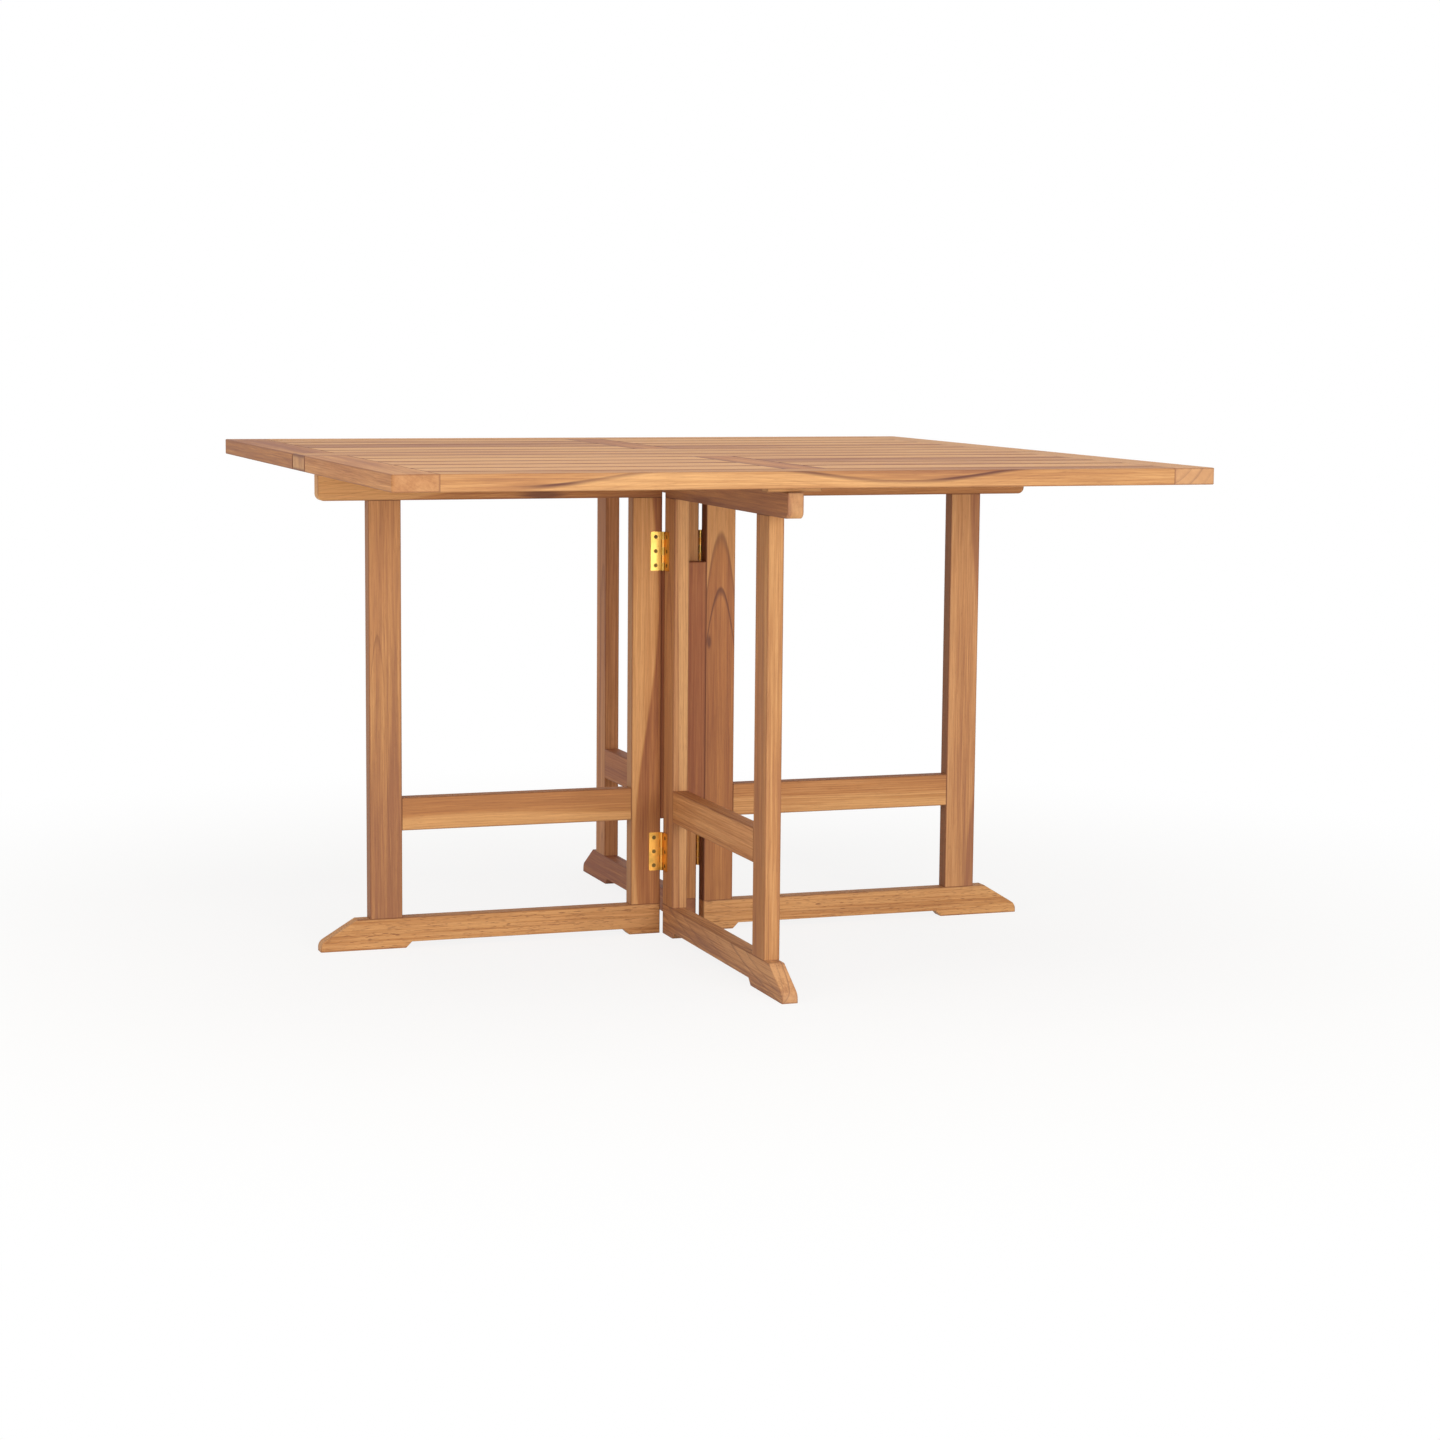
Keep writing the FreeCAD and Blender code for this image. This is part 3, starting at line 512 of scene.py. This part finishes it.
# Every board of the table: the axis that it runs along, and its own cut of teak. The fixed
# frames and the open gates are cut so that their figure follows the photograph.
BOARDS = {
    "centre_strip": dict(
        run=X, tone=0.22, red=0.2, contrast=2.6, band=28, ring=4, lines=0.6, pale=0.1, arris=0.90,
        arris_width=6,
    ),
    "spacer_block": dict(run=Z, tone=1.0, red=0.6, contrast=0.8, pith=(20, 260), ring=9, lines=0.25),
    # This rail's light tone is partly its wood and partly painted light, making up for the shade that
    # the top's overhang casts on it.
    "left_frame_top_rail": dict(
        run=X, tone=-0.05, contrast=1.2, red=0.0, pith=(-20, 600), taper=-0.15, wander=1, lines=0.35,
        heart_at=(-395, -12, 690), heart=0.70, stain_at=(-228, -12, 687), stain=0.75,
    ),
    "right_frame_top_rail": dict(run=X, tone=0.50, red=0.3, pith=(-20, 560), streaks=0.3),
    "left_frame_bottom_rail": dict(
        run=X, tone=0.22, contrast=1.7, ring=2.3, lines=0.6, wander=0.8, pith=(-20, 260), taper=0.008,
        pores=2.5, fade=-0.6,
    ),
    "right_frame_bottom_rail": dict(
        run=X, tone=0.20, contrast=1.7, ring=2.5, lines=0.6, wander=0.8, pith=(-25, 270), taper=-0.008,
        pores=2.5, fade=0.6,
    ),
    "left_frame_mid_rail": dict(
        run=X, tone=0.12, contrast=0.6, red=0.0, pith=(-20, 290), taper=0.0, wave=(-4, 520, -330),
        wander=0.8, ring=4.5, lines=0.30, heart_at=(-200, -12, 199), heart=0.50,
    ),
    "right_frame_mid_rail": dict(
        run=X, tone=0.22, contrast=1.0, pith=(-20, 300), taper=-0.01, wander=1.5, ring=3.5, lines=0.65,
        heart_at=(250, -12, 207), heart=0.42,
    ),
    "left_frame_outer_leg": dict(
        run=Z, tone=0.78, contrast=1.2, red=0.15, pith=(-486, -38), taper=0.022, ring=5, lines=0.20,
        wander=1.5, fade=-0.65, vein_at=(-486, -12, 450), vein=0.45, vein_width=0.5, side=0.35,
        pale=0.12,
    ),
    "right_frame_outer_leg": dict(
        run=Z, tone=0.40, contrast=1.3, red=0.25, pith=(545, -20), taper=0.0, wave=(11, 640, 50),
        wander=3, ring=14, lines=0.10, heart_at=(482, -12, 50), heart=0.60, heart_edge=3, side=0.62,
        fade=-0.45, pale=0.14, band=22,
    ),
    "left_frame_inner_stile": dict(
        run=Z, tone=0.14, contrast=1.2, pith=(40, -20), taper=0.03, wander=0.8, ring=5, lines=0.15,
        wave=(13, 640, 170), heart_at=(-54, -12, 364), heart=0.78, heart_edge=2.2, side=0.45, fade=0.40,
    ),
    "right_frame_inner_stile": dict(
        run=Z, tone=0.14, contrast=0.9, red=0.15, pith=(60, -72), taper=0.05, wander=0.5, ring=15,
        lines=0.15, fade=-0.2, heart_at=(57, -12, 623), heart=0.62, heart_edge=0.7, rim=0.5, side=0.90,
        vein_at=(64, -12, 546), vein=0.80, vein_width=0.7, stain_at=(42, -12, 456), stain=0.8,
        stain_size=5,
    ),
    "front_gate_top_rail": dict(
        run=Y, tone=0.30, contrast=1.5, red=0.15, pith=(-120, 690), taper=0.01, wander=1, streaks=0.6,
        heart_at=(-29, -300, 700), heart=0.58, heart_edge=2, pale=0.15,
    ),
    "front_gate_bottom_rail": dict(
        run=Y, tone=0.24, contrast=3.0, red=0.25, pith=(-90, 60), taper=0.12, ring=9, lines=1.0,
        wander=3, band=26, streaks=0.8, pale=0.2, side=0.15,
    ),
    "front_gate_mid_rail": dict(
        run=Y, tone=0.40, contrast=1.3, red=0.35, pith=(-150, 320), taper=0.03, ring=7, lines=0.4,
        wander=2, fade=1.2,
    ),
    "front_gate_outer_leg": dict(
        run=Z, tone=0.54, contrast=1.3, red=0.12, pith=(-120, -440), taper=0.01, wander=1, ring=7,
        lines=0.3, heart_at=(-30, -450, 364), heart=0.20, pale=0.05,
    ),
    "front_gate_inner_stile": dict(
        run=Z, tone=0.06, contrast=1.1, red=0.15, pith=(-110, -36), taper=0.012, wander=0.8, ring=4.2,
        lines=0.7, heart_at=(-23, -60, 300), heart=0.55, heart_edge=1.0, rim=0.3, side=0.12, pale=0.12,
    ),
    "back_gate_top_rail": dict(run=Y, tone=0.70, red=0.4),
    "back_gate_bottom_rail": dict(run=Y, tone=1.05, red=0.7),
    "back_gate_mid_rail": dict(run=Y, tone=0.80, red=0.8),
    "back_gate_outer_leg": dict(
        run=Z, tone=0.56, contrast=1.2, red=0.6, pith=(90, 440), taper=0.01, wander=2, ring=6,
        lines=0.5, pale=0.08,
    ),
    "back_gate_inner_stile": dict(run=Z, tone=0.50, red=0.3),
    "front_leaf_outer_rail": dict(
        run=X, tone=0.70, contrast=1.3, pith=(-700, 650), taper=-0.003, wave=(8.7, 556, -150),
        wander=0.25, ring=5, lines=0.20, fade=0.40, heart_at=(-328, -600, 741), heart=-0.46,
        heart_edge=2, vein_at=(-328, -600, 741), vein=1.0, vein_width=4, figure_from=-450,
        streaks=0.1, pale=0.1, arris=0.30,
    ),
    "back_leaf_outer_rail": dict(
        run=X, tone=0.25, contrast=0.9, pith=(590, 640), wave=(9, 700, 80), ring=5, lines=0.4,
    ),
}

# The leaves, each with its side of the table along Y.
LEAVES = {"front_leaf": -1, "back_leaf": 1}
for leaf, sign in LEAVES.items():
    BOARDS[f"{leaf}_left_end_rail"] = dict(
        run=Y, tone=0.68 + 0.18 * sign, red=0.30, contrast=1.3, lines=0.20,
    )
    BOARDS[f"{leaf}_right_end_rail"] = dict(
        run=Y, tone=0.32, red=0.20, contrast=0.9, pith=(500, 800), ring=15, lines=0.9, wander=2,
        pale=0.22,
    )
    BOARDS[f"{leaf}_inner_rail"] = dict(
        run=X, tone=0.22, red=0.20, contrast=2.6, band=28, lines=0.5, pale=0.1, arris=0.90,
        arris_width=6,
    )
    BOARDS[f"{leaf}_cross_rail"] = dict(
        run=Y, tone=0.74, red=0.5, contrast=1.5, streaks=0.5, arris=0.95, arris_width=8,
    )
    BOARDS[f"{leaf}_gate_cleat"] = dict(run=X, tone=0.10)

# For each board held between two others, those two, the one with the smaller coordinate first.
ENDS = {}
for label in ("left_frame", "right_frame", "front_gate", "back_gate"):
    for part in ("outer_leg", "inner_stile"):
        ENDS[f"{label}_{part}"] = (f"{label}_bottom_rail", f"{label}_top_rail")
    first, last = "outer_leg", "inner_stile"
    if label in ("right_frame", "back_gate"):
        first, last = last, first
    ENDS[f"{label}_mid_rail"] = (f"{label}_{first}", f"{label}_{last}")
for leaf, sign in LEAVES.items():
    for part in ("inner_rail", "outer_rail"):
        ENDS[f"{leaf}_{part}"] = (f"{leaf}_left_end_rail", f"{leaf}_right_end_rail")
    outer, inner = f"{leaf}_outer_rail", f"{leaf}_inner_rail"
    ENDS[f"{leaf}_cross_rail"] = (outer, inner) if sign < 0 else (inner, outer)
    ENDS[f"{leaf}_slats_left"] = (f"{leaf}_left_end_rail", f"{leaf}_cross_rail")
    ENDS[f"{leaf}_slats_right"] = (f"{leaf}_cross_rail", f"{leaf}_right_end_rail")


def ends_of(name, run):
    """Where a board starts and ends between the two boards that carry its tenons."""
    if name not in ENDS:
        return None
    low_neighbour, high_neighbour = ENDS[name]
    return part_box(low_neighbour)[1][run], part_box(high_neighbour)[0][run]


# Each board's seed is its place in BOARDS, so their order matters.
for seed, (name, cut) in enumerate(BOARDS.items()):
    dress(name, teak(
        f"teak_{name}", middle=middle_of(name), seed=seed, half=half_of(name),
        ends=ends_of(name, cut["run"]), **cut,
    ))

# The slats: four boards side by side in each bay, each with grain and arrises of its own.
SLATS = 4
SLAT_GAP = 7 * MM
for number, leaf in enumerate(LEAVES):
    for side in ("left", "right"):
        name = f"{leaf}_slats_{side}"
        low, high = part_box(name)
        pitch = (high.y - low.y + SLAT_GAP) / SLATS
        row = (Y, low.y - SLAT_GAP / 2, pitch)
        half = half_of(name)
        half.y = (pitch - SLAT_GAP) / 2
        seed = 40 + 5 * number + (side == "right") * 11
        dress(name, teak(
            f"teak_{name}", run=X, middle=middle_of(name), seed=seed, half=half, ends=ends_of(name, X),
            row=row, tone=0.18, red=0.25, contrast=2.9, band=28, ring=5, lines=0.6, streaks=0.3,
            variety=1.4, pale=0.1, arris=0.92, arris_width=6,
        ))

# Dowels have no arrises, so the half size given for them is far larger than they are.
dress("spacer_dowels", teak(
    "teak_spacer_dowels", run=X, middle=(0, 0, 0.4), seed=77, half=(1, 1, 1), tone=0.2,
))

# Brass: the fixed plates and the pins are lemon, and amber low down. The moving plates are amber.
lemon_brass = brass("brass_plates", LEMON, OLIVE, roughness=0.26, low_down=AMBER)
amber_brass = brass("brass_gate_plates", AMBER, BROWN, roughness=0.30)
screw_brass = brass("brass_screws", SCREW, SCREW_TARNISH, roughness=0.45)
for name in nodes:
    if "screws" in name:
        dress(name, screw_brass)
    elif "gate_plates" in name or "leaf_plates" in name:
        dress(name, amber_brass)
    elif "hinge" in name:
        dress(name, lemon_brass)


def seen_directly(g):
    """1 for what a camera, a mirror or glass sees, and 0 for the light that matt surfaces get."""
    path = g.tree.nodes.new("ShaderNodeLightPath").outputs
    seen = g.math("MAXIMUM", path["Is Camera Ray"], path["Is Glossy Ray"])
    return g.math("MAXIMUM", seen, path["Is Transmission Ray"])


def floor_material():
    """A matt pale surface that keeps a soft shadow and is seen as partly glowing white.

    It is all white away from the table. From its back it is clear, so the table can be looked at
    from below.
    """
    material, g, shader = new_material("floor_white")
    shader.inputs["Base Color"].default_value = (*FLOOR_COLOUR, 1.0)
    shader.inputs["Roughness"].default_value = 0.9
    shader.inputs["Specular IOR Level"].default_value = 0.0
    place = g.add("TexCoord", output="Object")
    away = g.vector("LENGTH", g.vector("MULTIPLY", place, (1.0, 1.0, 0.0)))
    share = g.ramp(away, FADE_START, FADE_END, WHITE_SHARE, 1.0)
    share = g.math("MULTIPLY", seen_directly(g), share)
    glow = g.add("Emission", {"Color": WHITE, "Strength": 1.0})
    front = g.add("MixShader", {0: share, 1: shader.outputs["BSDF"], 2: glow})
    behind = g.add("NewGeometry", output="Backfacing")
    both = g.add("MixShader", {0: behind, 1: front, 2: g.add("BsdfTransparent")})
    out = next(node for node in g.tree.nodes if node.type == "OUTPUT_MATERIAL")
    g.tree.links.new(both, out.inputs["Surface"])
    return material


def studio_floor():
    bpy.ops.mesh.primitive_plane_add(size=2 * FLOOR_REACH, location=(0, 0, 0))
    floor = bpy.context.object
    floor.name = "studio_floor"
    floor.data.materials.append(floor_material())


def lamp(name, place, size, power, colour):
    """A soft square lamp aimed at the middle of the table."""
    light = bpy.data.lights.new(name, "AREA")
    light.shape = "SQUARE"
    light.size = size
    light.energy = power
    light.color = colour
    lit = bpy.data.objects.new(name, light)
    bpy.context.scene.collection.objects.link(lit)
    lit.location = place
    aim = Vector(LAMP_AIM) - Vector(place)
    lit.rotation_euler = aim.to_track_quat("-Z", "Y").to_euler()


def studio_light():
    """Surroundings that look white and light the table gently, and the lamps."""
    world = bpy.data.worlds.new("studio")
    bpy.context.scene.world = world
    world.use_nodes = True
    world.node_tree.nodes.clear()
    g = Graph(world.node_tree)
    strength = g.math("MULTIPLY_ADD", seen_directly(g), 1.0 - WORLD_STRENGTH, WORLD_STRENGTH)
    sky = g.add("Background", {"Color": WHITE, "Strength": strength})
    out = world.node_tree.nodes.new("ShaderNodeOutputWorld")
    world.node_tree.links.new(sky, out.inputs["Surface"])
    for name, settings in LAMPS.items():
        lamp(name, *settings)


def photo_camera():
    """The camera of the photograph."""
    turn, tilt, roll = CAMERA_TURN, CAMERA_TILT, CAMERA_ROLL
    ahead = Vector((math.sin(turn) * math.cos(tilt), math.cos(turn) * math.cos(tilt), -math.sin(tilt)))
    right = ahead.cross(Vector((0, 0, 1))).normalized()
    down = ahead.cross(right)
    level_right = math.cos(roll) * right + math.sin(roll) * down
    level_down = -math.sin(roll) * right + math.cos(roll) * down
    camera = bpy.data.objects.new("camera", bpy.data.cameras.new("camera"))
    bpy.context.scene.collection.objects.link(camera)
    camera.data.sensor_width = SENSOR_WIDTH
    camera.data.lens = FOCAL_LENGTH
    axes = Matrix((level_right, -level_down, -ahead)).transposed()
    camera.matrix_world = Matrix.Translation(CAMERA_PLACE) @ axes.to_4x4()
    bpy.context.scene.camera = camera


studio_floor()
studio_light()
photo_camera()
bpy.context.scene.view_settings.view_transform = "Standard"
